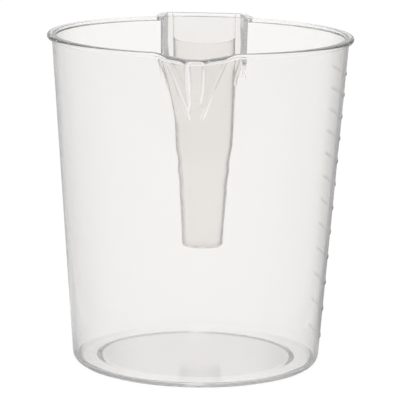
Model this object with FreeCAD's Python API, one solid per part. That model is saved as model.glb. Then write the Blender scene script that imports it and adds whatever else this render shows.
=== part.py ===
import FreeCAD, Part
import os
from math import asin, atan, cos, degrees, pi, radians, sin, sqrt, tan

# A translucent measuring jug for mixing baby formula, moulded in one shot.
# Millimetres. The origin is the centre of the foot on the table, +Z is up,
# the spout points along -Y, the hanging handle is at +Y and the graduations
# start at +X. Every region of the moulding is a solid of its own that meets
# its neighbours face to face.

V = FreeCAD.Vector

# ---- driving dimensions: jug -------------------------------------------------
height = 140.0              # table to the top of the rim
rim_diameter = 128.8        # over the rim's turned-out edge
rim_overhang = 2.0          # how far the rim stands out from the wall
rim_thickness = 2.0         # height of the rim's edge
rim_edge_radius = 0.8       # rounding of the rim's outer edges
wall = 1.4                  # wall of jug and spout
foot_diameter = 104.2       # where the wall's line would meet the table
foot_corner = 4.5           # outer rounding between wall and foot
floor_thickness = 1.6       # base panel and foot ring
foot_ring_width = 5.7       # flat band that stands on the table
recess_depth = 1.2          # how far the base panel is lifted off the table
recess_slope = 1.2          # width of the step up to the base panel

# ---- driving dimensions: spout -----------------------------------------------
spout_reach = 12.2          # nose beyond the wall at the top of the rim
spout_drop = 28.0           # depth of the channel below the top of the rim
spout_toe_width = 4.7       # width of the channel's floor at its lower end
spout_nose_width = 6.4      # width of the nose at the top
spout_wing_angle = 37.5     # each wing from straight ahead, degrees

# ---- driving dimensions: handle ----------------------------------------------
finger_gap = 21.0           # wall to handle, measured at the top of the rim
handle_lean = 4.0           # how much nearer the jug's axis the lower end is
handle_length = 108.3       # top of the rim down to the closed lower end
handle_waist_drop = 70.5    # top of the rim down to the waist
handle_shoulder_drop = 35.0 # top of the rim down to the shoulder
handle_foot_width = 19.4
handle_waist_width = 22.6
handle_shoulder_width = 29.8
handle_top_width = 33.8
handle_foot_depth = 15.0    # fore and aft, at the lower end
handle_top_depth = 19.5     # fore and aft, at the top
handle_bulge_ratio = 0.9    # depth of the rounded side over its half width
handle_corner = 3.0         # outer rounding of the strap's two long edges
handle_wall = 1.5
handle_cap = 1.8            # thickness of the closed lower end
handle_cap_edge = 1.2       # rounding of the closed end's outer edge
handle_top_fall = 3.5       # how far the handle's rim falls away from the jug
finger_wall_drop = 15.0     # top of the rim down to the rounded side's top edge
finger_wall_rise = 4.0      # how much higher that edge is at its two ends
gusset_top_width = 38.8     # over the two side plates at the jug's wall, at the rim
gusset_low_width = 37.4     # the same at their lower end
arch_drop = 20.0            # top of the rim down to the top of the finger opening
arch_radius = 20.0

# ---- driving dimensions: graduations -----------------------------------------
tick_count = 12
tick_step_volume = 100.0    # millilitres between two marks
first_tick_height = 12.2
tick_height = 0.9
tick_relief = 0.45
tick_start_angle = -4.0     # from +X towards +Y, degrees
tick_sweep_angle = 25.0
tick_clearance = 1.0        # least distance from a mark to the rim's edge

# ---- derived sizes -----------------------------------------------------------
rim_radius = rim_diameter / 2
top_radius = rim_radius - rim_overhang
foot_radius = foot_diameter / 2
taper = (top_radius - foot_radius) / height
lean_angle = atan(taper)
wall_across = wall / cos(lean_angle)
under_rim = height - rim_thickness
panel_top = recess_depth + floor_thickness
toe_height = height - spout_drop
handle_foot_height = height - handle_length
handle_waist_height = height - handle_waist_drop
handle_shoulder_height = height - handle_shoulder_drop
finger_wall_height = height - finger_wall_drop
arch_centre_height = height - arch_drop - arch_radius
gusset_foot_height = arch_centre_height + arch_radius / 4
handle_angle = 90.0         # directions round the jug, from +X
spout_angle = 270.0
turn = 360.0
overshoot = 10.0            # how far cutting tools reach past what they cut


def outer_radius(z):
    """Radius of the wall's outer face at height z."""
    return foot_radius + taper * z


def inner_radius(z):
    """Radius of the wall's inner face at height z."""
    return outer_radius(z) - wall_across


def mix(low, high, share):
    return low + (high - low) * share


# ---- helpers -----------------------------------------------------------------
def closed_wire(points):
    """A wire of straight edges through (x, y, z) points."""
    return Part.makePolygon(points + points[:1])


def turned(points, angle=turn):
    """A solid turned about Z from (radius, height) points."""
    face = Part.Face(closed_wire([V(r, 0, z) for r, z in points]))
    return face.revolve(V(0, 0, 0), V(0, 0, 1), angle)


def side_prism(outline):
    """A solid right across the jug from a (y, z) outline."""
    face = Part.Face(closed_wire([V(-rim_radius, y, z) for y, z in outline]))
    return face.extrude(V(2 * rim_radius, 0, 0))


def arc(start, middle, end):
    return Part.Arc(start, middle, end).toShape()


def line(start, end):
    return Part.LineSegment(start, end).toShape()


def jug_core(low, high):
    """All that lies within the wall's outer face between two heights."""
    return turned([(0, low), (outer_radius(low), low), (outer_radius(high), high), (0, high)])


# ---- foot and floor ----------------------------------------------------------
def corner_centre(wall_radius, radius):
    """Distance from the axis of a rounding that meets a wall line and a level floor."""
    return wall_radius + taper * foot_corner - radius / cos(lean_angle)


def corner_point(centre, radius, swing):
    """A point of a foot rounding; swing runs from straight down towards the wall."""
    return V(centre + radius * sin(swing), 0, foot_corner - radius * cos(swing))


def foot_ring():
    """The rounded corner and the band that stands on the table."""
    inside_corner = foot_corner - floor_thickness
    outer_centre = corner_centre(foot_radius, foot_corner)
    inner_centre = corner_centre(inner_radius(0), inside_corner)
    contact_inner = outer_centre - foot_ring_width
    step_inner = contact_inner - recess_slope
    step_shift = floor_thickness * tan(atan(recess_depth / recess_slope) / 2)
    full = pi / 2 - lean_angle
    outside = [corner_point(outer_centre, foot_corner, swing) for swing in (0, full / 2, full)]
    inside = [corner_point(inner_centre, inside_corner, swing) for swing in (full, full / 2, 0)]
    top = [V(outer_radius(foot_corner), 0, foot_corner), V(inner_radius(foot_corner), 0, foot_corner)]
    under = [
        V(contact_inner + step_shift, 0, floor_thickness),
        V(step_inner + step_shift, 0, panel_top),
        V(step_inner, 0, panel_top),
        V(step_inner, 0, recess_depth),
        V(contact_inner, 0, 0),
    ]
    edges = [arc(*outside), line(outside[2], top[0]), line(top[0], top[1]), line(top[1], inside[0])]
    edges.append(arc(*inside))
    path = [inside[2]] + under + [outside[0]]
    edges += [line(start, end) for start, end in zip(path, path[1:])]
    return Part.Face(Part.Wire(edges)).revolve(V(0, 0, 0), V(0, 0, 1), turn), step_inner


def base_panel(radius):
    """The floor inside the foot ring, lifted off the table by the recess."""
    return turned([(0, recess_depth), (radius, recess_depth), (radius, panel_top), (0, panel_top)])


# ---- spout -------------------------------------------------------------------
wing_spread = tan(radians(spout_wing_angle))
wing_across = 1 / cos(radians(spout_wing_angle))
toe_nose = outer_radius(toe_height)
top_nose = top_radius + spout_reach
nose_slope = atan((top_nose - toe_nose) / spout_drop)
nose_across = 1 / cos(nose_slope)
wing_length = top_nose - foot_radius / 2


def spout_outline(z, inset):
    """The channel's wedge at height z, drawn inset inside its outer faces."""
    share = (z - toe_height) / spout_drop
    nose = mix(toe_nose, top_nose, share) - inset * nose_across
    half = mix(spout_toe_width, spout_nose_width, share) / 2
    half += inset * (wing_spread * nose_across - wing_across)
    back = half + wing_spread * wing_length
    plan = [(-back, wing_length - nose), (-half, -nose), (half, -nose), (back, wing_length - nose)]
    return closed_wire([V(x, y, z) for x, y in plan])


def spout_wedge(inset, high):
    """The channel from its toe up to height high, as a filled body."""
    return Part.makeLoft([spout_outline(toe_height, inset), spout_outline(high, inset)], True, True)


def spout_opening():
    """What the channel leaves open, reaching past the top of the rim."""
    return spout_wedge(wall, height + overshoot)


def pour_spout(opening):
    sheet = spout_wedge(0, under_rim).cut(opening)
    return sheet.cut(jug_core(foot_corner, height))


def spout_lip(opening, rim_disc):
    """The rim's edge, carried round the spout."""
    outline = Part.Face(spout_outline(height, -rim_overhang))
    slab = outline.extrude(V(0, 0, -rim_thickness))
    return slab.cut(opening).cut(rim_disc)


# ---- handle ------------------------------------------------------------------
def between(z, stations):
    """Value at height z along (height, value) stations, straight from one to the next."""
    for (z_low, low), (z_high, high) in zip(stations, stations[1:]):
        if z <= z_high:
            return mix(low, high, (z - z_low) / (z_high - z_low))
    return stations[-1][1]


handle_stations = [
    (handle_foot_height, handle_foot_width),
    (handle_waist_height, handle_waist_width),
    (handle_shoulder_height, handle_shoulder_width),
    (height, handle_top_width),
]


def handle_near(z):
    """The face towards the jug, at its nearest, at height z."""
    return top_radius + finger_gap - handle_lean * (height - z) / height


def handle_middle(z, inset=0.0):
    """Where the rounded side passes into the straight sides."""
    half = between(z, handle_stations) / 2 - inset
    return handle_near(z) + inset + handle_bulge_ratio * half


def handle_far(z):
    share = (z - handle_foot_height) / (height - handle_foot_height)
    return handle_near(z) + mix(handle_foot_depth, handle_top_depth, share)


def handle_outline(z, inset):
    """The handle's D at height z, drawn inset inside its outer face."""
    half = between(z, handle_stations) / 2 - inset
    near = handle_near(z) + inset
    middle = handle_middle(z, inset)
    far = handle_far(z) - inset
    corner = handle_corner - inset
    diagonal = corner * (1 - cos(pi / 4))
    bow = Part.Ellipse(V(half, middle, z), V(0, near, z), V(0, middle, z))
    edges = [
        Part.ArcOfEllipse(bow, 0, pi).toShape(),
        line(V(-half, middle, z), V(-half, far - corner, z)),
        arc(V(-half, far - corner, z), V(diagonal - half, far - diagonal, z), V(corner - half, far, z)),
        line(V(corner - half, far, z), V(half - corner, far, z)),
        arc(V(half - corner, far, z), V(half - diagonal, far - diagonal, z), V(half, far - corner, z)),
        line(V(half, far - corner, z), V(half, middle, z)),
    ]
    return Part.Wire(edges)


def handle_body(inset, low):
    """The tapered tube as a filled body, from height low to the top of the rim."""
    heights = [low] + [z for z, _ in handle_stations[1:]]
    return Part.makeLoft([handle_outline(z, inset) for z in heights], True, True)


def handle_tube():
    """The handle's tube as a filled body, with its closed end rounded."""
    tube = handle_body(0, handle_foot_height)
    rim_of_foot = [edge for edge in tube.Edges if edge.BoundBox.ZMax < handle_foot_height + handle_cap]
    return tube.makeFillet(min(handle_cap_edge, 0.9 * handle_cap), rim_of_foot)


def below_handle_rim(depth):
    """All that lies under the handle's rim, depth below its falling top face."""
    near = foot_radius
    edge = handle_far(height) + rim_overhang
    far = edge + overshoot
    fall = handle_top_fall * (far - top_radius) / (edge - top_radius)
    low = handle_foot_height - overshoot
    top = height - depth
    return side_prism([(near, low), (far, low), (far, top - fall), (top_radius, top), (near, top)])


def towards_jug():
    """The side of the handle that the rounded finger wall takes up."""
    low, high = handle_foot_height, height
    return side_prism([
        (foot_radius, low), (handle_middle(low), low), (handle_middle(high), high), (foot_radius, high),
    ])


def below_finger_edge():
    """All that lies under the finger wall's sloping top edge."""
    near, far = handle_near(finger_wall_height), handle_middle(finger_wall_height)
    rise = finger_wall_rise / (far - near)
    start = foot_radius
    end = handle_far(height)
    low = handle_foot_height - overshoot
    return side_prism([
        (start, low), (end, low),
        (end, finger_wall_height + rise * (end - near)),
        (start, finger_wall_height + rise * (start - near)),
    ])


def handle_plan(inset):
    """Outline of plates and strap together, at the top, open towards the jug."""
    wide = gusset_top_width / 2 - inset
    half = handle_top_width / 2 - inset
    middle = handle_middle(height)
    far = handle_far(height) - inset
    corner = handle_corner - inset
    start = foot_radius / 2
    right = [V(wide, start, 0), V(wide, top_radius, 0), V(half, middle, 0), V(half, far - corner, 0)]
    left = [V(-p.x, p.y, 0) for p in reversed(right)]
    diagonal = corner * (1 - cos(pi / 4))
    edges = [line(a, b) for a, b in zip(right, right[1:])]
    edges.append(arc(right[-1], V(half - diagonal, far - diagonal, 0), V(half - corner, far, 0)))
    edges.append(line(V(half - corner, far, 0), V(corner - half, far, 0)))
    edges.append(arc(V(corner - half, far, 0), V(diagonal - half, far - diagonal, 0), left[0]))
    edges += [line(a, b) for a, b in zip(left, left[1:])]
    edges.append(line(left[-1], right[0]))
    return Part.Face(Part.Wire(edges)).extrude(V(0, 0, height))


def handle_rim(rim_disc):
    """The rim's edge, carried round the plates and the strap."""
    band = handle_plan(-rim_overhang).cut(handle_plan(wall))
    slab = below_handle_rim(0).cut(below_handle_rim(rim_thickness))
    return band.common(slab).cut(rim_disc)


def gusset(side, tube):
    """The side plate between the jug's wall and the handle."""
    def plan(z, half_width):
        half = between(z, handle_stations) / 2
        corners = [
            (half_width, top_radius - 2 * wall), (half, handle_middle(z)),
            (half, handle_far(z) - handle_corner), (half - wall, handle_far(z) - handle_corner),
            (half - wall, handle_middle(z)), (half_width - wall, top_radius - 2 * wall),
        ]
        return closed_wire([V(side * x, y, z) for x, y in corners])

    low = plan(gusset_foot_height, gusset_low_width / 2)
    high = plan(height, gusset_top_width / 2)
    plate = Part.makeLoft([low, high], True, True)
    arch_centre = V(-rim_radius, top_radius + finger_gap / 2, arch_centre_height)
    arch = Part.makeCylinder(arch_radius, 2 * rim_radius, arch_centre, V(1, 0, 0))
    plate = plate.cut(arch).cut(jug_core(0, height)).cut(tube)
    plate = plate.common(below_handle_rim(rim_thickness))
    return max(plate.Solids, key=lambda solid: solid.Volume)


# ---- rim and wall ------------------------------------------------------------
def lip_turn():
    """Half the angle that the spout's lip takes up on the rim's edge, in degrees."""
    nose = top_nose + rim_overhang * nose_across
    half = spout_nose_width / 2 + rim_overhang * (wing_across - wing_spread * nose_across)
    across = half + wing_spread * nose
    squared = 1 + wing_spread ** 2
    ahead = (across * wing_spread + sqrt(rim_radius ** 2 * squared - across ** 2)) / squared
    return degrees(atan((across - wing_spread * ahead) / ahead))


def rim_flange(opening):
    """The turned-out edge: rounded, but plain at the spout and flush where the handle opens into it."""
    soft = rim_edge_radius
    shoulder = soft * (1 - cos(pi / 4))
    low = under_rim
    inner = [V(inner_radius(height), 0, height), V(inner_radius(low), 0, low)]
    rounded = Part.Wire([
        line(inner[1], V(rim_radius - soft, 0, low)),
        arc(V(rim_radius - soft, 0, low), V(rim_radius - shoulder, 0, low + shoulder),
            V(rim_radius, 0, low + soft)),
        line(V(rim_radius, 0, low + soft), V(rim_radius, 0, height - soft)),
        arc(V(rim_radius, 0, height - soft), V(rim_radius - shoulder, 0, height - shoulder),
            V(rim_radius - soft, 0, height)),
        line(V(rim_radius - soft, 0, height), inner[0]),
        line(inner[0], inner[1]),
    ])
    plain = closed_wire(inner + [V(rim_radius, 0, low), V(rim_radius, 0, height)])
    flush = closed_wire(inner + [V(top_radius, 0, low), V(top_radius, 0, height)])

    def stretch(profile, start, end):
        """The profile turned from one angle to another, counted from +X towards +Y."""
        part = Part.Face(profile).revolve(V(0, 0, 0), V(0, 0, 1), end - start)
        part.rotate(V(0, 0, 0), V(0, 0, 1), start)
        return part

    shaft = degrees(asin((gusset_top_width / 2 - wall) / top_radius))
    spout = lip_turn()
    ring = stretch(plain, spout_angle - spout, spout_angle + spout).cut(opening)
    ring = ring.fuse(stretch(rounded, spout_angle + spout - turn, handle_angle - shaft))
    ring = ring.fuse(stretch(rounded, handle_angle + shaft, spout_angle - spout))
    return ring.fuse(stretch(flush, handle_angle - shaft, handle_angle + shaft))


def body_wall(opening):
    shell = turned([
        (inner_radius(foot_corner), foot_corner), (outer_radius(foot_corner), foot_corner),
        (outer_radius(under_rim), under_rim), (inner_radius(under_rim), under_rim),
    ])
    return shell.cut(opening)


# ---- graduations -------------------------------------------------------------
def volume_between(low, high):
    """Content of the jug between two heights, in millilitres."""
    cone = (inner_radius(high) ** 3 - inner_radius(low) ** 3) / (3 * taper)
    return pi * cone / 1000


def next_mark(z):
    """Height at which the jug holds one more step than at height z."""
    cubed = inner_radius(z) ** 3 + tick_step_volume * 1000 * 3 * taper / pi
    return (cubed ** (1 / 3) - inner_radius(0)) / taper


def graduation_ticks():
    """Raised marks, one for each step of volume that fits below the rim."""
    ticks = []
    z = first_tick_height
    highest = under_rim - tick_clearance - tick_height / 2
    while len(ticks) < tick_count and z < highest:
        low, high = z - tick_height / 2, z + tick_height / 2
        slope = tick_height / 4
        tick = turned([
            (outer_radius(low), low), (outer_radius(low + slope) + tick_relief, low + slope),
            (outer_radius(high - slope) + tick_relief, high - slope), (outer_radius(high), high),
        ], tick_sweep_angle)
        tick.rotate(V(0, 0, 0), V(0, 0, 1), tick_start_angle)
        ticks.append(tick)
        z = next_mark(z)
    return Part.makeCompound(ticks)


# ---- build and write ---------------------------------------------------------
def build():
    opening = spout_opening()
    rim_disc = Part.makeCylinder(rim_radius, height)
    tube = handle_tube()
    cap_top = handle_foot_height + handle_cap
    tube_walls = tube.cut(handle_body(handle_wall, cap_top))
    cap_zone = side_prism([(0, 0), (rim_diameter, 0), (rim_diameter, cap_top), (0, cap_top)])
    sleeve = tube_walls.cut(cap_zone)
    near_side = towards_jug()
    ring, panel_radius = foot_ring()
    return {
        "body_wall": body_wall(opening),
        "base_panel": base_panel(panel_radius),
        "foot_ring": ring,
        "rim_flange": rim_flange(opening),
        "pour_spout": pour_spout(opening),
        "spout_lip": spout_lip(opening, rim_disc),
        "handle_strap": sleeve.cut(near_side).common(below_handle_rim(rim_thickness)),
        "handle_finger_wall": sleeve.common(near_side).common(below_finger_edge()),
        "handle_end_cap": tube_walls.common(cap_zone),
        "handle_rim": handle_rim(rim_disc),
        "handle_gusset_left": gusset(-1, tube),
        "handle_gusset_right": gusset(1, tube),
        "graduation_ticks": graduation_ticks(),
    }


os.makedirs("parts", exist_ok=True)
for name, shape in build().items():
    box = shape.BoundBox
    print(f"{name:22s} solids {len(shape.Solids):2d} valid {shape.isValid()} volume {shape.Volume:9.1f}"
          f"  x {box.XMin:7.2f} {box.XMax:7.2f}  y {box.YMin:7.2f} {box.YMax:7.2f}"
          f"  z {box.ZMin:7.2f} {box.ZMax:7.2f}")
    shape.exportStep(f"parts/{name}.step")
print(f"content to the last mark and to the brim, from the first mark: "
      f"{volume_between(first_tick_height, height):.0f} ml")
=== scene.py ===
# %% [markdown]
# # A translucent measuring jug
# The real thing is one injection moulding in natural polypropylene: a tapered
# jug with a V spout, a turned-out rim, a hollow handle that hangs from the rim,
# and raised marks up one side. This lesson models it in the order in which a
# mould maker would cut it, joins the regions into one skin, and lights it.

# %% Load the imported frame
from math import acos, atan, atan2, cos, degrees, hypot, pi, radians, sin, tan

import bmesh
import bpy
from mathutils import Matrix, Vector


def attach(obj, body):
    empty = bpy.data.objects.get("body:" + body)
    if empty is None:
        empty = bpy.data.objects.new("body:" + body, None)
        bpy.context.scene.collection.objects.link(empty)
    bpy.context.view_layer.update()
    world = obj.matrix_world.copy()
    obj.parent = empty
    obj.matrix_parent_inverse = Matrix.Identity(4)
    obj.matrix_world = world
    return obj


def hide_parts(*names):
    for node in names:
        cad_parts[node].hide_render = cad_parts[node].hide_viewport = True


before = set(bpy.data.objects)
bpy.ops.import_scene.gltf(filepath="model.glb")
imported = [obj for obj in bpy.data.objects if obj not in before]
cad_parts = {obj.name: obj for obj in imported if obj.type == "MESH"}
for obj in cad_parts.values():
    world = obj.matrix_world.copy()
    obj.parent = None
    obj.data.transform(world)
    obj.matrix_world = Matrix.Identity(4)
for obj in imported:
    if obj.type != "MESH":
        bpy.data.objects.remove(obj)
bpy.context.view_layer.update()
print("CAD nodes:", ", ".join(sorted(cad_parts)))

# %% [markdown]
# ## Sizes
# All lengths are metres, because the frame is. The jug's main sizes are written
# once here, and each later step names its own. The wall is a straight cone, so
# one taper gives its radius at any height.

# %% Sizes of the moulding
mm = 0.001
height = 140 * mm
rim_overhang = 2.0 * mm
rim_depth = 2.0 * mm
top_radius = 62.4 * mm
foot_radius = 52.1 * mm
wall = 1.4 * mm
floor_wall = 1.6 * mm
foot_corner = 4.5 * mm
recess = 1.2 * mm
taper = (top_radius - foot_radius) / height
lean = atan(taper)


def wall_radius(z):
    """Radius of the jug's outer face at height z."""
    return foot_radius + taper * z


print("wall leans out", round(degrees(lean), 2), "degrees")

# %% [markdown]
# ## Where the marks sit
# The marks are read against the level of the milk, so they are spaced by equal
# volumes and not by equal heights: the steps get shorter as the jug widens. A
# typed list would go wrong as soon as the taper changed, so the volume of the
# cone gives them.

# %% Heights of the marks
mark_height = 0.9 * mm
mark_relief = 0.3 * mm
mark_from, mark_to = -4.0, 18.5
mark_volume = 1e-4
mark_count = 12
lowest_mark = 12.2 * mm


def next_mark(z):
    """Height at which the jug holds one step of volume more than at z."""
    inside = wall_radius(z) - wall / cos(lean)
    cubed = inside ** 3 + mark_volume * 3 * taper / pi
    return (cubed ** (1 / 3) - foot_radius + wall / cos(lean)) / taper


marks = [lowest_mark]
while len(marks) < mark_count:
    marks.append(next_mark(marks[-1]))
print("marks at", [round(z / mm, 1) for z in marks], "mm")

# %% [markdown]
# ## Drawing with one vertex
# A turned wall and a lofted tube both start from a line. By hand, a plane is
# collapsed to one vertex, which is then extruded from point to point. The same
# few operators are wrapped here as small helpers, together with a way to select
# parts of a piece by place, since nobody clicks on anything in a script.

# %% Helpers for drawing and selecting
def leave_everything():
    """Back to object mode with nothing selected."""
    if bpy.context.mode != "OBJECT":
        bpy.ops.object.mode_set(mode="OBJECT")
    bpy.ops.object.select_all(action="DESELECT")


def draw_line(name, points, closed=False):
    """A new piece: an edge line through the points."""
    leave_everything()
    bpy.ops.mesh.primitive_plane_add(size=mm, location=points[0])
    bpy.ops.object.transform_apply()
    piece = bpy.context.object
    piece.name = piece.data.name = name
    bpy.ops.object.mode_set(mode="EDIT")
    bpy.ops.mesh.select_mode(type="VERT")
    bpy.ops.mesh.select_all(action="SELECT")
    bpy.ops.mesh.merge(type="CENTER")
    for here, there in zip(points, points[1:]):
        step = Vector(there) - Vector(here)
        bpy.ops.mesh.extrude_vertices_move(TRANSFORM_OT_translate={"value": step})
    if closed:
        table = bmesh.from_edit_mesh(piece.data)
        table.verts.ensure_lookup_table()
        ends = [vert for vert in table.verts if len(vert.link_edges) == 1]
        for vert in table.verts:
            vert.select_set(vert in ends)
        bpy.ops.mesh.edge_face_add()
    return piece


def pick(piece, kind, test):
    """In edit mode, select the vertices, edges or faces of piece that pass test."""
    bpy.context.view_layer.objects.active = piece
    if piece.mode != "EDIT":
        leave_everything()
        bpy.context.view_layer.objects.active = piece
        piece.select_set(True)
        bpy.ops.object.mode_set(mode="EDIT")
    bpy.ops.mesh.select_mode(type=kind)
    bpy.ops.mesh.select_all(action="DESELECT")
    table = bmesh.from_edit_mesh(piece.data)
    items = {"VERT": table.verts, "EDGE": table.edges, "FACE": table.faces}[kind]
    found = 0
    for item in items:
        if test(item):
            item.select_set(True)
            found += 1
    table.select_flush_mode()
    bmesh.update_edit_mesh(piece.data)
    return found


def finish_with(piece, kind, **settings):
    """Add a modifier, set it and apply it."""
    leave_everything()
    bpy.context.view_layer.objects.active = piece
    piece.select_set(True)
    modifier = piece.modifiers.new(kind.title(), kind)
    for name, value in settings.items():
        setattr(modifier, name, value)
    bpy.ops.object.modifier_apply(modifier=modifier.name)


def bearing(point):
    """Angle of a point round the jug's axis, in degrees from +X towards +Y."""
    return degrees(atan2(point.y, point.x))


# %% [markdown]
# ## The skin's profile
# Floor, foot and wall are one surface of revolution. It could be a cylinder with
# scaled ends, but the foot's round and the recess under the floor would then have
# to be cut in later. A profile holds them from the start, with closer rows where
# the marks and the spout will be shaped.

# %% Profile of the jug's outer skin
ring_width = 5.7 * mm
step_width = 2.4 * mm
spout_rows_from = 104 * mm
row_step, row_gap = 0.5 * mm, 0.35 * mm
ring_centre = foot_radius + taper * foot_corner - foot_corner / cos(lean)
ring_inside = ring_centre - ring_width
rows = [(0, recess), (15 * mm, recess), (ring_inside - step_width - 0.3 * mm, recess)]
for part in range(9):
    share = part / 8
    rows.append((ring_inside - step_width * (1 - share), recess * (1 + cos(pi * share)) / 2))
rows += [(ring_inside + 0.3 * mm, 0), (ring_centre, 0)]
swing = radians(90) - lean
for part in range(1, 8):
    a = swing * part / 7
    rows.append((ring_centre + foot_corner * sin(a), foot_corner * (1 - cos(a))))
heights = [height - rim_depth, height]
for z in marks:
    heights += [z + part * mark_height for part in (-1 / 2, -1 / 4, 1 / 4, 1 / 2)]
z = spout_rows_from
while z < height - rim_depth - row_step:
    if min(abs(z - other) for other in heights) > row_gap:
        heights.append(z)
    z += row_step
rows += [(wall_radius(z), z) for z in sorted(heights)]
print("profile has", len(rows), "points")

# %% [markdown]
# ## Turning
# On the real mould this is lathe work, and spin does the same. It turns in six
# sweeps, so that the spout, the marks and the handle's root get narrower columns
# than the plain wall, which looks just as round with wider ones.

# %% Turn the profile into the jug's skin
sweeps = ((40, 150), (66, 42), (25, 20), (49, 32), (40, 32), (140, 88))
start = radians(250)
jug = draw_line("jug_moulding", [(r * cos(start), r * sin(start), z) for r, z in rows])
bpy.ops.mesh.select_all(action="SELECT")
for sweep, steps in sweeps:
    bpy.ops.mesh.spin(steps=steps, angle=-radians(sweep), center=(0, 0, 0), axis=(0, 0, 1))
bpy.ops.mesh.select_all(action="SELECT")
bpy.ops.mesh.remove_doubles(threshold=0.01 * mm)
bpy.ops.mesh.normals_make_consistent(inside=False)
leave_everything()
outward = sum(face.normal.xy.dot(face.center.xy) for face in jug.data.polygons)
print("skin has", len(jug.data.polygons), "faces, outward" if outward > 0 else "faces, INWARD")

# %% [markdown]
# ## The spout
# The spout is a V pushed out of the wall: two flat wings that meet in a narrow
# nose and run into the round wall with a soft root. It could be a solid of its
# own joined by a boolean, but then its wall would also stand inside the jug. So
# its plan is drawn level by level, and the wall is pressed on to it.

# %% Plan of the spout
spout_drop = 28 * mm
spout_reach = 12.2 * mm
nose_width, nose_growth = 4.7, 1.7
nose_soft = 3.6 * mm
root_foot, root_slope = 7.2 * mm, 0.33
toe = height - spout_drop
wing_turn = radians(37.5)
wing = Vector((sin(wing_turn), cos(wing_turn)))
beside = Vector((wing.y, -wing.x))


def arc_points(centre, start, end, steps):
    """Points from start to end round a centre, the short way."""
    first, last = Vector(start) - centre, Vector(end) - centre
    begin = atan2(first.y, first.x)
    swing = (atan2(last.y, last.x) - begin + pi) % (2 * pi) - pi
    turns = [begin + swing * k / steps for k in range(steps + 1)]
    return [centre + first.length * Vector((cos(a), sin(a))) for a in turns]


def wing_meets(start, radius):
    """How far along the wing from start a circle round the jug's axis is met."""
    along = start.dot(wing)
    return -along - max(0, along ** 2 - start.length_squared + radius ** 2) ** 0.5


def circle_through(tip, radius, soft):
    """Centre of a circle of radius soft that passes tip and touches the wall from outside."""
    gap, span = tip.length, radius + soft
    turn = acos(max(-1, min(1, (gap ** 2 + span ** 2 - soft ** 2) / (2 * gap * span))))
    a = atan2(tip.y, tip.x) + turn
    return span * Vector((cos(a), sin(a)))


def root_fillet(tip, radius, soft):
    """Centre of the soft root's arc, and where the arc meets the wing."""
    reach = wing_meets(tip + soft * beside, radius + soft)
    if reach > 0:
        return tip + soft * beside + reach * wing, tip + reach * wing
    return circle_through(tip, radius, soft), tip


def spout_line(z):
    """Plan of the spout at height z: nose, two wings and a soft root on each side."""
    share = (z - toe) / spout_drop
    radius = wall_radius(z)
    ahead = wall_radius(toe) + (top_radius + spout_reach - wall_radius(toe)) * share
    tip = Vector(((nose_width + nose_growth * share) / 2 * mm, -ahead))
    root_end = root_foot + root_slope * (z - toe)
    low, high = 0.5 * mm, 80 * mm
    for _ in range(30):
        soft = (low + high) / 2
        centre, meets = root_fillet(tip, radius, soft)
        if centre.x * radius / (radius + soft) < root_end:
            low = soft
        else:
            high = soft
    blend = arc_points(centre, meets, centre * radius / (radius + soft), 12)
    nose = min(nose_soft, max(0.05 * mm, 1.5 * (meets - tip).length))
    nose_centre = tip + Vector((-nose * tan((pi / 2 - wing_turn) / 2), nose))
    front, flank = nose_centre - Vector((0, nose)), nose_centre + nose * beside
    right_side = arc_points(nose_centre, front, flank, 4) + blend
    left_side = [Vector((-point.x, point.y)) for point in reversed(right_side)]
    return [(point.x, point.y, z) for point in left_side + right_side]


print("at the rim the spout's roots are at x =", round(spout_line(height)[-1][0] / mm, 1), "mm")

# %% [markdown]
# ## A former for the spout
# A sheet through the plans works like the former over which warm plastic is
# drawn. Every plan has the same number of points, so bridging them gives even
# faces without a twist.

# %% The spout's former
def join_pieces(name, pieces):
    """One piece from several."""
    leave_everything()
    for piece in pieces:
        piece.select_set(True)
    bpy.context.view_layer.objects.active = pieces[0]
    bpy.ops.object.join()
    pieces[0].name = name
    return pieces[0]


def loft_lines(name, lines, closed=False):
    """A sheet through lines that have the same number of points."""
    sheet = join_pieces(name, [draw_line(name, line, closed) for line in lines])
    bpy.ops.object.mode_set(mode="EDIT")
    bpy.ops.mesh.select_all(action="SELECT")
    bpy.ops.mesh.bridge_edge_loops()
    return sheet


above_toe = (0.3, 1, 2, 3.5, 5, 8, 13, 20, 26, 30)
former = loft_lines("spout_former", [spout_line(toe + z * mm) for z in above_toe])
leave_everything()
print("former has", len(former.data.polygons), "faces")

# %% [markdown]
# ## Pressing
# Shrinkwrap slides the wall's vertices forward on to the former and moves nothing
# else, so the wall stays one skin. A smoothing pass then softens the toe and the
# roots, as the real mould does. The vertices beside the two creases are noted in
# a group, for the fine ridge they get once the wall is thick.

# %% Press the spout out of the wall
spout_sector = 19
toe_fade_from, toe_fade, side_fade = 14 * mm, 8 * mm, 2
pressed = jug.vertex_groups.new(name="pressed")
blended = jug.vertex_groups.new(name="blended")
for vert in jug.data.vertices:
    aside = abs(bearing(vert.co) + 90)
    if vert.co.z > toe + 0.3 * mm and aside < spout_sector:
        pressed.add([vert.index], 1.0, "REPLACE")
    if vert.co.z > toe - 7 * mm and aside < spout_sector:
        near_toe = min(1.0, max(0.12, (toe + toe_fade_from - vert.co.z) / toe_fade))
        near_side = min(1.0, (spout_sector - aside) / side_fade)
        blended.add([vert.index], near_toe * near_side, "REPLACE")
finish_with(
    jug, "SHRINKWRAP", target=former, wrap_method="PROJECT", use_project_y=True,
    use_negative_direction=True, use_positive_direction=False, vertex_group="pressed",
)
finish_with(
    jug, "SMOOTH", factor=0.5, iterations=60, use_x=False, use_z=False, vertex_group="blended",
)
leave_everything()
bpy.data.objects.remove(former)
crease_foot, crease_slope, crease_reach, crease_height = 2.2 * mm, 0.3755, 0.8 * mm, 0.16 * mm
creased = jug.vertex_groups.new(name="creased")
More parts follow.
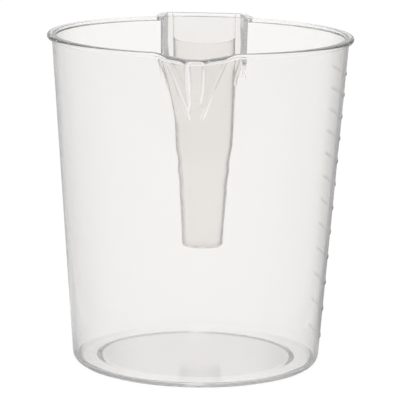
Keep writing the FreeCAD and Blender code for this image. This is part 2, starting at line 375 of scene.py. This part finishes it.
for vert in jug.data.vertices:
    line = crease_foot + crease_slope * (vert.co.z - toe)
    off = abs(abs(vert.co.x) - line) / crease_reach
    if vert.co.y < 0 and vert.co.z > toe and off < 1:
        end = min(1, (vert.co.z - toe) / (2 * mm))
        creased.add([vert.index], end * (1 + cos(pi * off)) / 2, "REPLACE")
print("nose stands at y =", round(min(vert.co.y for vert in jug.data.vertices) / mm, 2), "mm")

# %% [markdown]
# ## Wall and floor
# A moulding has nearly the same wall everywhere, which is what solidify gives;
# the floor, where the plastic comes in, is a little thicker. The mouth and the
# floor inside are levelled by scaling to nothing in height. Last, the creases of
# the spout get a ridge of a sixth of a millimetre, which catches the light.

# %% Give the skin its wall
thick = jug.vertex_groups.new(name="floor")
for vert in jug.data.vertices:
    if vert.co.z < 0.5 * foot_corner:
        thick.add([vert.index], 1.0, "REPLACE")
outer_count = len(jug.data.vertices)
finish_with(
    jug, "SOLIDIFY", thickness=floor_wall, offset=-1, use_even_offset=True,
    use_quality_normals=True, vertex_group="floor", thickness_vertex_group=wall / floor_wall,
)
pick(jug, "VERT", lambda vert: vert.co.z > height - 0.5 * mm)
bpy.ops.transform.resize(value=(1, 1, 0), center_override=(0, 0, height))
floor_top = recess + floor_wall
pick(jug, "VERT", lambda vert: vert.index >= outer_count and vert.co.z < floor_top)
bpy.ops.transform.resize(value=(1, 1, 0), center_override=(0, 0, floor_top))
finish_with(
    jug, "DISPLACE", direction="NORMAL", mid_level=0, strength=crease_height,
    vertex_group="creased",
)
print("wall gives", len(jug.data.polygons), "faces")

# %% [markdown]
# ## The rim
# The rim stiffens the mouth: a narrow strip that stands out all round, except
# where the handle's shaft opens. Extruding the wall's top faces along their
# normals lets it follow the spout too, which a separate ring would not do.

# %% Turn out the rim
shaft_half = 17.4
under_rim = height - rim_depth
rim_soft = 0.95 * mm


def rim_edge_face(face):
    """Outer faces of the top strip, but not where the handle's shaft opens."""
    centre = face.calc_center_median()
    inside_shaft = abs(bearing(centre) - 90) < shaft_half
    outer = face.normal.xy.dot(centre.xy.normalized()) > 0.3
    return centre.z > under_rim and outer and not inside_shaft


found = pick(jug, "FACE", rim_edge_face)
bpy.ops.mesh.extrude_region_shrink_fatten(
    TRANSFORM_OT_shrink_fatten={"value": rim_overhang, "use_even_offset": True}
)
table = bmesh.from_edit_mesh(jug.data)
edge_of_rim = {vert.index for vert in table.verts if vert.select}
for level in (under_rim, height):
    pick(
        jug, "VERT",
        lambda vert: vert.index in edge_of_rim and abs(vert.co.z - level) < rim_depth / 2,
    )
    bpy.ops.transform.resize(value=(1, 1, 0), center_override=(0, 0, level))
print("rim strip of", found, "faces")

# %% [markdown]
# ## The pouring lip
# A lip that turns down a little lets the last drop fall clear of the wall. By
# hand this would be a grab with a soft falloff; the weight plays that part here,
# full along the nose and fading towards the roots.

# %% Let the pouring lip droop
lip_droop, lip_dip = 0.3 * mm, 0.8 * mm
lip_half, lip_fade = 17.5 * mm, 6 * mm
front_side = -55 * mm


def near_nose(x):
    """1 along the spout's front, 0 where its roots meet the rim."""
    aside = min(1, max(0, (lip_half - abs(x)) / lip_fade))
    return aside ** 2 * (3 - 2 * aside)


leave_everything()
for vert in jug.data.vertices:
    if vert.index in edge_of_rim and vert.co.y < front_side:
        vert.co.z -= lip_droop * near_nose(vert.co.x)

# %% [markdown]
# ## Rounding the rim
# No moulded edge that a hand touches is sharp. A bevel rounds the two long outer
# edges only, because the inner one is where the wall's own face ends.

# %% Round the rim's outer edges
def outer_rim_edge(edge):
    """The two long edges of the turned-out strip."""
    low, high = sorted(vert.co.z for vert in edge.verts)
    turned_out = all(vert.index in edge_of_rim for vert in edge.verts)
    return turned_out and high - low < 0.1 * mm


found = pick(jug, "EDGE", outer_rim_edge)
bpy.ops.mesh.bevel(offset=rim_soft, segments=5, affect="EDGES", clamp_overlap=True)
print("rounded", found, "rim edges")

# %% [markdown]
# ## The dip
# From the front the nose stands just below the rest of the rim. The top of the
# spout comes down as a whole, less and less further down, so the strip keeps its
# height and the wall under it is not folded.

# %% Let the lip dip at the nose
dip_from, dip_fade = 128 * mm, 9 * mm
leave_everything()
for vert in jug.data.vertices:
    up = min(1, max(0, (vert.co.z - dip_from) / dip_fade))
    if vert.co.y < front_side:
        vert.co.z -= lip_dip * near_nose(vert.co.x) * up
lowest = min(vert.co.z for vert in jug.data.vertices if vert.co.y < -75 * mm)
print("lip dips to", round(lowest / mm, 2), "mm")

# %% [markdown]
# ## The marks
# Each mark is a short bar that stands three tenths of a millimetre proud. Bars
# could be boxes bent round the wall, but the profile already has inner rows at
# every mark. Lifting those along their normals gives a bar with sloping sides
# that belongs to the skin, as if it were cut in the mould.

# %% Raise the marks
def mark_vertex(vert):
    """Middle rows of a mark, on the outer face, within the marks' sector."""
    level = min(abs(vert.co.z - z) for z in marks)
    outer = hypot(vert.co.x, vert.co.y) > wall_radius(vert.co.z) - wall / 2
    in_sector = mark_from - 0.1 < bearing(vert.co) < mark_to + 0.1
    return outer and level < 0.3 * mark_height and in_sector


found = pick(jug, "VERT", mark_vertex)
bpy.ops.transform.shrink_fatten(value=mark_relief)
table = bmesh.from_edit_mesh(jug.data)
lift = [hypot(v.co.x, v.co.y) - wall_radius(v.co.z) for v in table.verts if v.select]
print("raised", found, "vertices by", round(sum(lift) / len(lift) / mm, 2), "mm")
leave_everything()

# %% [markdown]
# ## The handle
# It hangs from the rim: a hollow tube with a flat strap on the far side and a
# rounded wall for the fingers, closed at the foot, and held by two side plates.
# Its widths change with height, so each outline is a short table of stations,
# and the section at any height is drawn from them.

# %% The handle's section
finger_gap = 21 * mm
near_top = top_radius + finger_gap
handle_foot = 31.7 * mm
handle_lean = 4 * mm
handle_depth, handle_spread = 15.0, 4.5
handle_soft = 2 * mm
strap_stations = [(31.7, 19.4), (69.5, 22.6), (105.0, 29.8), (140.0, 33.8)]
tube_stations = [
    (31.7, 18.9), (40, 19.7), (47.3, 20.7), (52, 21.2), (55.5, 22.0), (59, 21.9), (63, 22.8),
    (66, 23.9), (69.5, 23.7), (73, 25.0), (77, 26.3), (84, 27.0), (88, 27.3), (105, 28.1),
    (140.0, 28.8),
]
wing_stations = [
    (99, 28.0), (105, 29.0), (108, 29.7), (111, 31.2), (114, 33.4), (117, 35.0), (120, 35.8),
    (123, 36.2), (140.0, 35.4),
]


def half_width(stations, z):
    """Half of the width that the stations give at height z."""
    for (low, narrow), (high, wide) in zip(stations, stations[1:]):
        if z / mm <= high or high == stations[-1][0]:
            return (narrow + (wide - narrow) * (z / mm - low) / (high - low)) / 2 * mm


def handle_half(z):
    """Half the handle's width at height z."""
    return half_width(strap_stations, z)


def handle_near(z):
    """The rounded side at its nearest to the jug."""
    return near_top - handle_lean * (height - z) / height


def handle_middle(z):
    """Where the rounded side passes into the straight sides."""
    return handle_near(z) + 0.9 * handle_half(z)


def handle_far(z):
    """The strap's outer face."""
    share = (z - handle_foot) / (height - handle_foot)
    return handle_near(z) + (handle_depth + handle_spread * share) * mm


def handle_ring(z):
    """The tube's section at height z: a half ellipse and a flat strap with soft corners."""
    half, near = half_width(tube_stations, z), handle_near(z)
    middle, far = handle_middle(z), handle_far(z)
    corner = handle_soft
    points = [(-half * cos(radians(a)), middle - (middle - near) * sin(radians(a)), z)
              for a in range(0, 181, 6)]
    for side, turns in ((1, range(0, 91, 18)), (-1, range(90, -1, -18))):
        for a in turns:
            points.append((side * (half - corner + corner * cos(radians(a))),
                           far - corner + corner * sin(radians(a)), z))
    return points


print("handle section has", len(handle_ring(height)), "points")

# %% [markdown]
# ## The tube
# The tube narrows to a closed foot, and its sides waver slightly, as those of
# thin mouldings do. A cylinder with scaled loops would be too regular; a loft
# through the sections follows the table. The foot is filled and rounded.

# %% Loft the tube
foot_round = 1.2 * mm
tube_levels = [z for z, width in tube_stations[:-1]] + [114, 124, 133, 141]
tube = loft_lines("handle_tube", [handle_ring(z * mm) for z in tube_levels], closed=True)


def foot_edge(edge):
    """Edges of the tube's lower end."""
    return max(vert.co.z for vert in edge.verts) < handle_foot + 0.1 * mm


pick(tube, "EDGE", foot_edge)
bpy.ops.mesh.edge_face_add()
bpy.ops.mesh.select_all(action="SELECT")
bpy.ops.mesh.normals_make_consistent(inside=False)
pick(tube, "EDGE", foot_edge)
bpy.ops.mesh.bevel(offset=foot_round, segments=4, affect="EDGES")
leave_everything()
print("tube skin has", len(tube.data.polygons), "faces")

# %% [markdown]
# ## Open top and thin wall
# Towards the jug the tube ends lower, in a shallow curve that is seen behind the
# rim, while the strap runs on to the falling top. Two bisections cut these edges.
# Solidify then gives the wall, thinner near the top, where the mould's core is
# drawn out.

# %% Cut the tube's two top edges and give it its wall
top_fall = 3.5 / 42.5
tube_wall, thin_share = 1.1 * mm, 0.6
thin_from, thin_fade = 95 * mm, 30 * mm
edge_low = 125 * mm
edge_rise = 0.8 * mm / (handle_middle(edge_low) - handle_near(edge_low))


def near_face(face):
    """Faces of the rounded side."""
    centre = face.calc_center_median()
    return centre.y < handle_middle(centre.z) - 0.01 * mm


def handle_top(y):
    """Height of the handle's falling top face."""
    return height - top_fall * max(0, y - top_radius)


pick(tube, "FACE", near_face)
bpy.ops.mesh.bisect(
    plane_co=(0, handle_near(edge_low), edge_low), plane_no=(0, -edge_rise, 1), clear_outer=True,
)
pick(tube, "FACE", lambda face: not near_face(face))
bpy.ops.mesh.bisect(
    plane_co=(0, top_radius, height - 0.03 * mm), plane_no=(0, top_fall, 1), clear_outer=True,
)
leave_everything()
drafted = tube.vertex_groups.new(name="drafted")
for vert in tube.data.vertices:
    up = min(1, max(0, (vert.co.z - thin_from) / thin_fade))
    drafted.add([vert.index], 1 - up, "REPLACE")
finish_with(
    tube, "SOLIDIFY", thickness=tube_wall, offset=-1, use_even_offset=True,
    use_quality_normals=True, vertex_group="drafted", thickness_vertex_group=thin_share,
)
print("tube stands from z", round(min(v.co.z for v in tube.data.vertices) / mm, 2),
      "to", round(max(v.co.z for v in tube.data.vertices) / mm, 2), "mm")

# %% [markdown]
# ## Side plates
# Two upright plates carry the handle, and an arch under them leaves room for the
# fingers. They are closed bodies that reach a little into the wall and the tube,
# so that the union has something to hold. One cylinder, laid across, cuts the
# arch out of both.

# %% Side plates
plate_wall = 1.3 * mm
arch_radius, arch_y, arch_z = 20 * mm, 72.9 * mm, 100 * mm


def plate_line(side, z):
    """Plan of a plate at height z, from inside the jug's wall to inside the tube's side."""
    share = (z - 105 * mm) / (35 * mm)
    root, root_y = (18.7 + 0.7 * share) * mm, (56.5 + 2.4 * share) * mm
    half, middle = half_width(wing_stations, z) - 0.05 * mm, handle_middle(z)
    outer = [(root, root_y), (half, middle), (half, middle + 3 * mm)]
    inner = [(x - plate_wall, y) for x, y in reversed(outer)]
    return [(side * x, y, z) for x, y in outer + inner]


def loft_solid(name, lines):
    """A closed body through closed outlines, from the lowest to the highest."""
    body = loft_lines(name, lines, closed=True)
    for level in (lines[0][0][2], lines[-1][0][2]):
        pick(body, "EDGE", lambda edge: all(abs(v.co.z - level) < 0.01 * mm for v in edge.verts))
        bpy.ops.mesh.edge_face_add()
    bpy.ops.mesh.select_all(action="SELECT")
    bpy.ops.mesh.normals_make_consistent(inside=False)
    return body


plate_levels = (105, 108, 111, 114, 117, 120, 123, 141)
plates = [loft_solid("side_plate", [plate_line(side, z * mm) for z in plate_levels])
          for side in (-1, 1)]
plates = join_pieces("side_plates", plates)
bpy.ops.mesh.primitive_cylinder_add(
    vertices=96, radius=arch_radius, depth=60 * mm, location=(0, arch_y, arch_z),
    rotation=(0, pi / 2, 0),
)
arch = bpy.context.object
finish_with(plates, "BOOLEAN", object=arch, operation="DIFFERENCE", solver="EXACT")
bpy.data.objects.remove(arch)
print("plates have", len(plates.data.polygons), "faces")

# %% [markdown]
# ## The strap's wings
# Near the top the strap is wider than the tube, and its edges turn back to take
# the plates. The wings begin where the strap leaves the tube's side. They could
# be extruded sheets, but solids lofted through closed plans stay closed when the
# falling top is cut.

# %% The strap's wings
strap_wall, return_wall, return_depth = 1.1 * mm, 1.0 * mm, 4.3 * mm


def strap_wing_line(side, z):
    """Plan of the strap beyond the tube: a soft corner and a short return towards the jug."""
    half, far = half_width(wing_stations, z), handle_far(z) - 0.02 * mm
    root, front = half_width(tube_stations, z) - 1.4 * mm, far - return_depth
    soft, turned = 0.3 * mm, half - return_wall
    outer = [(half, front)]
    outer += [(half - soft + soft * cos(radians(a)), far - soft + soft * sin(radians(a)))
              for a in (0, 45, 90)]
    outer.append((root, far))
    inner = [(root, far - strap_wall), (turned, far - strap_wall), (turned, front)]
    return [(side * x, y, z) for x, y in outer + inner]


wing_levels = (99, 105, 108, 111, 114, 117, 120, 123, 141)
wings = [loft_solid("strap_wing", [strap_wing_line(side, z * mm) for z in wing_levels])
         for side in (-1, 1)]
wings = join_pieces("strap_wings", wings)
for region in (plates, wings):
    pick(region, "FACE", lambda face: True)
    bpy.ops.mesh.bisect(
        plane_co=(0, top_radius, height - 0.05 * mm), plane_no=(0, top_fall, 1), clear_outer=True,
        use_fill=True,
    )
    bpy.ops.mesh.select_all(action="SELECT")
    bpy.ops.mesh.bisect(
        plane_co=(0, 0, height - 0.05 * mm), plane_no=(0, 0, 1), clear_outer=True, use_fill=True,
    )
    leave_everything()
print("wings have", len(wings.data.polygons), "faces")

# %% [markdown]
# ## The rim round the handle
# The same strip goes on round plates and strap, and falls towards the far side.
# Its outline is drawn twice, outside and inside, and bridged to a ribbon that is
# extruded down, which keeps its width even round the corners.

# %% The handle's part of the rim
rim_root_half, rim_half = 19.4 * mm, 17.7 * mm
rim_inward = -1.2 * mm
band_round = 0.6 * mm
corner_x, corner_y = 13.9 * mm, 99.9 * mm


def rim_line(out):
    """Outline round plates and strap, a distance out from their outer faces."""
    wide, half, corner = rim_root_half + out, rim_half + out, handle_soft + out
    middle, far = handle_middle(height), handle_far(height) + out
    points = [(wide, 58.6 * mm), (wide, top_radius), (half, middle)]
    points += [(half - corner + corner * cos(radians(a)), far - corner + corner * sin(radians(a)))
               for a in range(0, 91, 15)]
    both = points + [(-x, y) for x, y in reversed(points)]
    return [(x, y, handle_top(y) - 0.02 * mm) for x, y in both]


rim_band = loft_lines("handle_rim_band", [rim_line(rim_overhang), rim_line(rim_inward)])
bpy.ops.mesh.select_all(action="SELECT")
bpy.ops.mesh.extrude_region_move(TRANSFORM_OT_translate={"value": (0, 0, -rim_depth)})
bpy.ops.mesh.select_all(action="SELECT")
bpy.ops.mesh.normals_make_consistent(inside=False)


def outer_band_edge(edge):
    """Long edges on the band's outer side."""
    aside = [hypot(max(abs(vert.co.x) - corner_x, 0), max(vert.co.y - corner_y, 0))
             for vert in edge.verts]
    along = (edge.verts[0].co - edge.verts[1].co).xy.length > 0.1 * mm
    return min(aside) > 4.6 * mm and along


found = pick(rim_band, "EDGE", outer_band_edge)
bpy.ops.mesh.bevel(offset=band_round, segments=3, affect="EDGES")
leave_everything()
print("band rounded along", found, "edges")

# %% [markdown]
# ## A little out of true
# The far side of the handle's top stands a good millimetre beside the middle.
# The vertices of all four regions move by one weight that grows outwards and
# upwards, so they lean together and stay rooted in the wall.

# %% Set the strap where it stands
strap_offset = 1.2 * mm
offset_from, offset_fade, offset_reach = 95 * mm, 40 * mm, 30 * mm


def set_aside(point):
    """How far a point of the handle is moved to the side."""
    out = min(1, max(0, (point.y - top_radius) / offset_reach))
    up = min(1, max(0, (point.z - offset_from) / offset_fade))
    return strap_offset * out * up


for region in (plates, wings, tube, rim_band):
    for vert in region.data.vertices:
        vert.co.x -= set_aside(vert.co)
print("strap moved by", round(set_aside(Vector((0, 0.1, height))) / mm, 2), "mm")

# %% [markdown]
# ## One moulding
# The jug leaves its mould as one piece, and clear plastic shows every face left
# inside it, because light bends there. So the regions are united, and not merely
# pushed together, and the result is tested for open edges.

# %% Join the regions into one moulding
for region in (plates, wings, tube, rim_band):
    finish_with(jug, "BOOLEAN", object=region, operation="UNION", solver="MANIFOLD")
    bpy.data.objects.remove(region)
table = bmesh.new()
table.from_mesh(jug.data)
loose = sum(1 for edge in table.edges if len(edge.link_faces) != 2)
corners = sum(len(face.verts) - 2 for face in table.faces)
print("moulding:", len(table.faces), "faces,", corners, "triangles,", loose, "open edges,",
      "volume", round(table.calc_volume() * 1e9), "mm3")
table.free()

# %% [markdown]
# ## Shading
# Smooth shading by angle keeps the round walls round and the edges of plates and
# rim crisp. Plain smooth shading would bend the light at every corner.

# %% Shade it smooth, but keep its corners
leave_everything()
bpy.context.view_layer.objects.active = jug
jug.select_set(True)
bpy.ops.object.shade_smooth_by_angle(angle=radians(32))
jug.name = jug.data.name = "jug_moulding"
for group in list(jug.vertex_groups):
    jug.vertex_groups.remove(group)

# %% [markdown]
# ## The plastic
# Natural polypropylene is clear with a slight milky cast. It is a transmitting
# Principled shader whose volume takes a little light on the way, so one wall is
# nearly white, two are greyer, and a plate seen along its length is darkest. The
# foot is frosted, fine noise stands for wear, and a faint upright ripple for the
# way the melt flowed.

# %% Translucent polypropylene
plastic = bpy.data.materials.new("natural_polypropylene")
plastic.use_nodes = True
nodes, links = plastic.node_tree.nodes, plastic.node_tree.links
nodes.clear()
output = nodes.new("ShaderNodeOutputMaterial")
shader = nodes.new("ShaderNodeBsdfPrincipled")
shader.inputs["Base Color"].default_value = (0.99, 0.98, 0.968, 1.0)
shader.inputs["Transmission Weight"].default_value = 0.975
shader.inputs["IOR"].default_value = 1.49
place = nodes.new("ShaderNodeTexCoord")
parts = nodes.new("ShaderNodeSeparateXYZ")
links.new(place.outputs["Object"], parts.inputs[0])
frosted = nodes.new("ShaderNodeMapRange")
frosted.inputs["From Min"].default_value = 2.9 * mm
frosted.inputs["From Max"].default_value = 5 * mm
frosted.inputs["To Min"].default_value = 0.07
frosted.inputs["To Max"].default_value = 0.015
links.new(parts.outputs["Z"], frosted.inputs["Value"])
wear = nodes.new("ShaderNodeTexNoise")
wear.inputs["Scale"].default_value = 260
wear.inputs["Detail"].default_value = 4
links.new(place.outputs["Object"], wear.inputs["Vector"])
gloss = nodes.new("ShaderNodeMath")
gloss.operation = "MULTIPLY_ADD"
gloss.inputs[1].default_value = 0.03
links.new(wear.outputs["Fac"], gloss.inputs[0])
links.new(frosted.outputs["Result"], gloss.inputs[2])
links.new(gloss.outputs["Value"], shader.inputs["Roughness"])
stretch = nodes.new("ShaderNodeMapping")
stretch.inputs["Scale"].default_value = (1, 1, 0.05)
links.new(place.outputs["Object"], stretch.inputs["Vector"])
flow = nodes.new("ShaderNodeTexNoise")
flow.inputs["Scale"].default_value = 300
flow.inputs["Detail"].default_value = 2
links.new(stretch.outputs["Vector"], flow.inputs["Vector"])
ripple = nodes.new("ShaderNodeBump")
ripple.inputs["Strength"].default_value = 0.5
ripple.inputs["Distance"].default_value = 0.01 * mm
links.new(flow.outputs["Fac"], ripple.inputs["Height"])
links.new(ripple.outputs["Normal"], shader.inputs["Normal"])
links.new(shader.outputs["BSDF"], output.inputs["Surface"])
absorb = nodes.new("ShaderNodeVolumeAbsorption")
absorb.inputs["Color"].default_value = (0.5, 0.5, 0.5, 1.0)
absorb.inputs["Density"].default_value = 1.0
links.new(absorb.outputs["Volume"], output.inputs["Volume"])
jug.data.materials.clear()
jug.data.materials.append(plastic)

# %% [markdown]
# ## What it stands for
# The solids divide the jug into thirteen regions. This one skin takes the place
# of all of them, in one plastic, and stays where the jug stands.

# %% Tell the frame what the moulding stands for
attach(jug, "root")
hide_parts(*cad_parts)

# %% [markdown]
# ## Camera
# A long lens from a little above, looking at the spout.

# %% Camera
distance, eye_height, around = 1.16145, 0.28977, radians(1.5)
pitch, yaw, roll = radians(10.749), radians(0.042), radians(0.932)
sensor_width, focal_length = 36, 251.253
ahead = Vector((sin(yaw) * cos(pitch), cos(yaw) * cos(pitch), -sin(pitch)))
level_right = Vector((cos(yaw), -sin(yaw), 0))
level_up = level_right.cross(ahead)
right = cos(roll) * level_right + sin(roll) * level_up
upward = -sin(roll) * level_right + cos(roll) * level_up
turn = Matrix.Rotation(around, 3, "Z")
axes = Matrix([turn @ right, turn @ upward, turn @ -ahead]).transposed()
bpy.ops.object.camera_add(
    location=turn @ Vector((0, -distance, eye_height)), rotation=axes.to_euler(),
)
camera = bpy.context.object
camera.data.sensor_width = sensor_width
camera.data.lens = focal_length
camera.data.clip_start = 0.05
bpy.context.scene.camera = camera
print("camera at", [round(v, 4) for v in camera.location], "lens", round(camera.data.lens, 1))

# %% [markdown]
# ## The studio
# Clear plastic has hardly a colour of its own and shows the room round it. In an
# all-white room it would vanish, so the tones of dark screens to the sides behind it
# are painted by direction, into the room's light and as a painted reflection on the
# table; every wall or plate that bends the view sideways picks them up as grey. The
# helpers paint these tones by direction: how far behind, and to which side.

# %% Helpers for the studio's tones
def ramp_from(socket, low, high, colours):
    """A colour that runs from the first to the last while socket goes from low to high."""
    span = nodes.new("ShaderNodeMapRange")
    span.inputs["From Min"].default_value = low
    span.inputs["From Max"].default_value = high
    links.new(socket, span.inputs["Value"])
    ramp = nodes.new("ShaderNodeValToRGB")
    links.new(span.outputs["Result"], ramp.inputs["Fac"])
    for spot, (place, colour) in enumerate(colours):
        while len(ramp.color_ramp.elements) <= spot:
            ramp.color_ramp.elements.new(1.0)
        ramp.color_ramp.elements[spot].position = place
        ramp.color_ramp.elements[spot].color = (*colour, 1)
    return ramp.outputs["Color"]


def blended_colour(factor, first, second, mode="MIX"):
    """Two colours mixed by a factor; either may be a socket."""
    tone = nodes.new("ShaderNodeMix")
    tone.data_type = "RGBA"
    tone.blend_type = mode
    for name, value in (("Factor", factor), ("A", first), ("B", second)):
        if hasattr(value, "node"):
            links.new(value, tone.inputs[name])
        elif name == "Factor":
            tone.inputs[name].default_value = value
        else:
            tone.inputs[name].default_value = (*value, 1)
    return tone.outputs["Result"]


def surroundings(direction, depth_tones, side_tones):
    """Tones round the jug: by depth behind it, times by side."""
    parts = nodes.new("ShaderNodeSeparateXYZ")
    links.new(direction, parts.inputs[0])
    depth = ramp_from(parts.outputs["Y"], -1, 1, [(p, (v, v, v * 1.01)) for p, v in depth_tones])
    side = ramp_from(parts.outputs["X"], -1, 1, [(p, (v, v, v)) for p, v in side_tones])
    behind = ramp_from(parts.outputs["Y"], 0.1, 0.6, [(0, (0, 0, 0)), (1, (1, 1, 1))])
    return blended_colour(behind, depth, side, "MULTIPLY"), parts.outputs["Z"]


side_tones = [
    (0, 0.75), (0.16, 0.80), (0.26, 0.60), (0.37, 0.53), (0.41, 0.60), (0.455, 0.60), (0.47, 1),
    (0.505, 1), (0.515, 0.64), (0.55, 0.62), (0.60, 0.46), (0.8, 0.42), (1, 0.50),
]

# %% [markdown]
# ## The lamp
# One large weak softbox overhead puts the highlights on the rim. A small lamp
# would throw a hard shadow and bright spots through the plastic.

# %% A soft lamp over the table
bpy.ops.object.light_add(
    type="AREA", location=(-0.4, -0.5, 1.4), rotation=(radians(20), radians(-16), 0),
)
lamp = bpy.context.object
lamp.name = "overhead_softbox"
lamp.data.shape = "SQUARE"
lamp.data.size = 1.2
lamp.data.energy = 2.0
print("lamp of", lamp.data.energy, "W")

# %% [markdown]
# ## The table
# The paper glows, so that it stays white up to the jug, and its matt part takes
# the soft shadow. Light that the jug reflects finds a painted reflection on it
# instead of plain white: the grey tones of the studio's screens, painted into its
# glow by direction.

# %% Floor
leave_everything()
bpy.ops.mesh.primitive_plane_add(size=6, location=(0, 0, 0))
floor = bpy.context.object
floor.name = "studio_floor"
bpy.ops.object.transform_apply()
paper = bpy.data.materials.new("studio_paper")
paper.use_nodes = True
nodes, links = paper.node_tree.nodes, paper.node_tree.links
nodes.clear()
output = nodes.new("ShaderNodeOutputMaterial")
matt = nodes.new("ShaderNodeBsdfDiffuse")
matt.inputs["Color"].default_value = (0.08, 0.08, 0.08, 1)
glow = nodes.new("ShaderNodeEmission")
both = nodes.new("ShaderNodeAddShader")
links.new(glow.outputs[0], both.inputs[0])
links.new(matt.outputs[0], both.inputs[1])
links.new(both.outputs[0], output.inputs["Surface"])
path = nodes.new("ShaderNodeLightPath")
place = nodes.new("ShaderNodeTexCoord")
outward = nodes.new("ShaderNodeVectorMath")
outward.operation = "NORMALIZE"
links.new(place.outputs["Object"], outward.inputs[0])
# Painted reflection: for rays the jug has reflected, the floor glows in the grey tones of screens
# that are not there.
painted_reflection_tones, _ = surroundings(
    outward.outputs["Vector"],
    [(0, 0.54), (0.3, 0.46), (0.5, 0.36), (0.75, 0.70), (0.85, 0.80), (0.95, 0.85), (1, 0.90)],
    side_tones,
)
# Plain white glow when seen directly, the painted reflection tones once a ray has been reflected.
seen = blended_colour(path.outputs["Glossy Depth"], (0.94, 0.94, 0.94), painted_reflection_tones)
seen.node.clamp_factor = True
links.new(seen, glow.inputs["Color"])
floor.data.materials.append(paper)

# %% [markdown]
# ## The room
# Seen directly the room is white. Through the plastic it has the same screens as
# the table shows, and a soft light above them that fills the mouth.

# %% World
scene = bpy.context.scene
scene.world = scene.world or bpy.data.worlds.new("studio")
scene.world.use_nodes = True
nodes, links = scene.world.node_tree.nodes, scene.world.node_tree.links
nodes.clear()
output = nodes.new("ShaderNodeOutputWorld")
sky = nodes.new("ShaderNodeBackground")
links.new(sky.outputs[0], output.inputs["Surface"])
where = nodes.new("ShaderNodeTexCoord")
room, upness = surroundings(
    where.outputs["Generated"],
    [(0, 0.30), (0.35, 0.30), (0.5, 0.34), (0.75, 0.50), (0.85, 0.70), (0.95, 0.85), (1, 0.90)],
    side_tones,
)
above = ramp_from(upness, 0.35, 1, [(0, (0, 0, 0)), (0.5, (1, 1, 1)), (1, (1, 1, 1))])
room = blended_colour(above, room, (1.0, 1.0, 1.0))
path = nodes.new("ShaderNodeLightPath")
seen = blended_colour(path.outputs["Glossy Depth"], (1, 1, 1), room)
seen.node.clamp_factor = True
links.new(seen, sky.inputs["Color"])

# %% [markdown]
# ## Finish
# The Standard view keeps white white. A ray crosses a dozen faces on its way
# through jug and handle, so it is allowed many bounces.

# %% Finish
scene.view_settings.view_transform = "Standard"
scene.cycles.max_bounces = 96
scene.cycles.glossy_bounces = 64
scene.cycles.transmission_bounces = 48
bpy.context.view_layer.update()
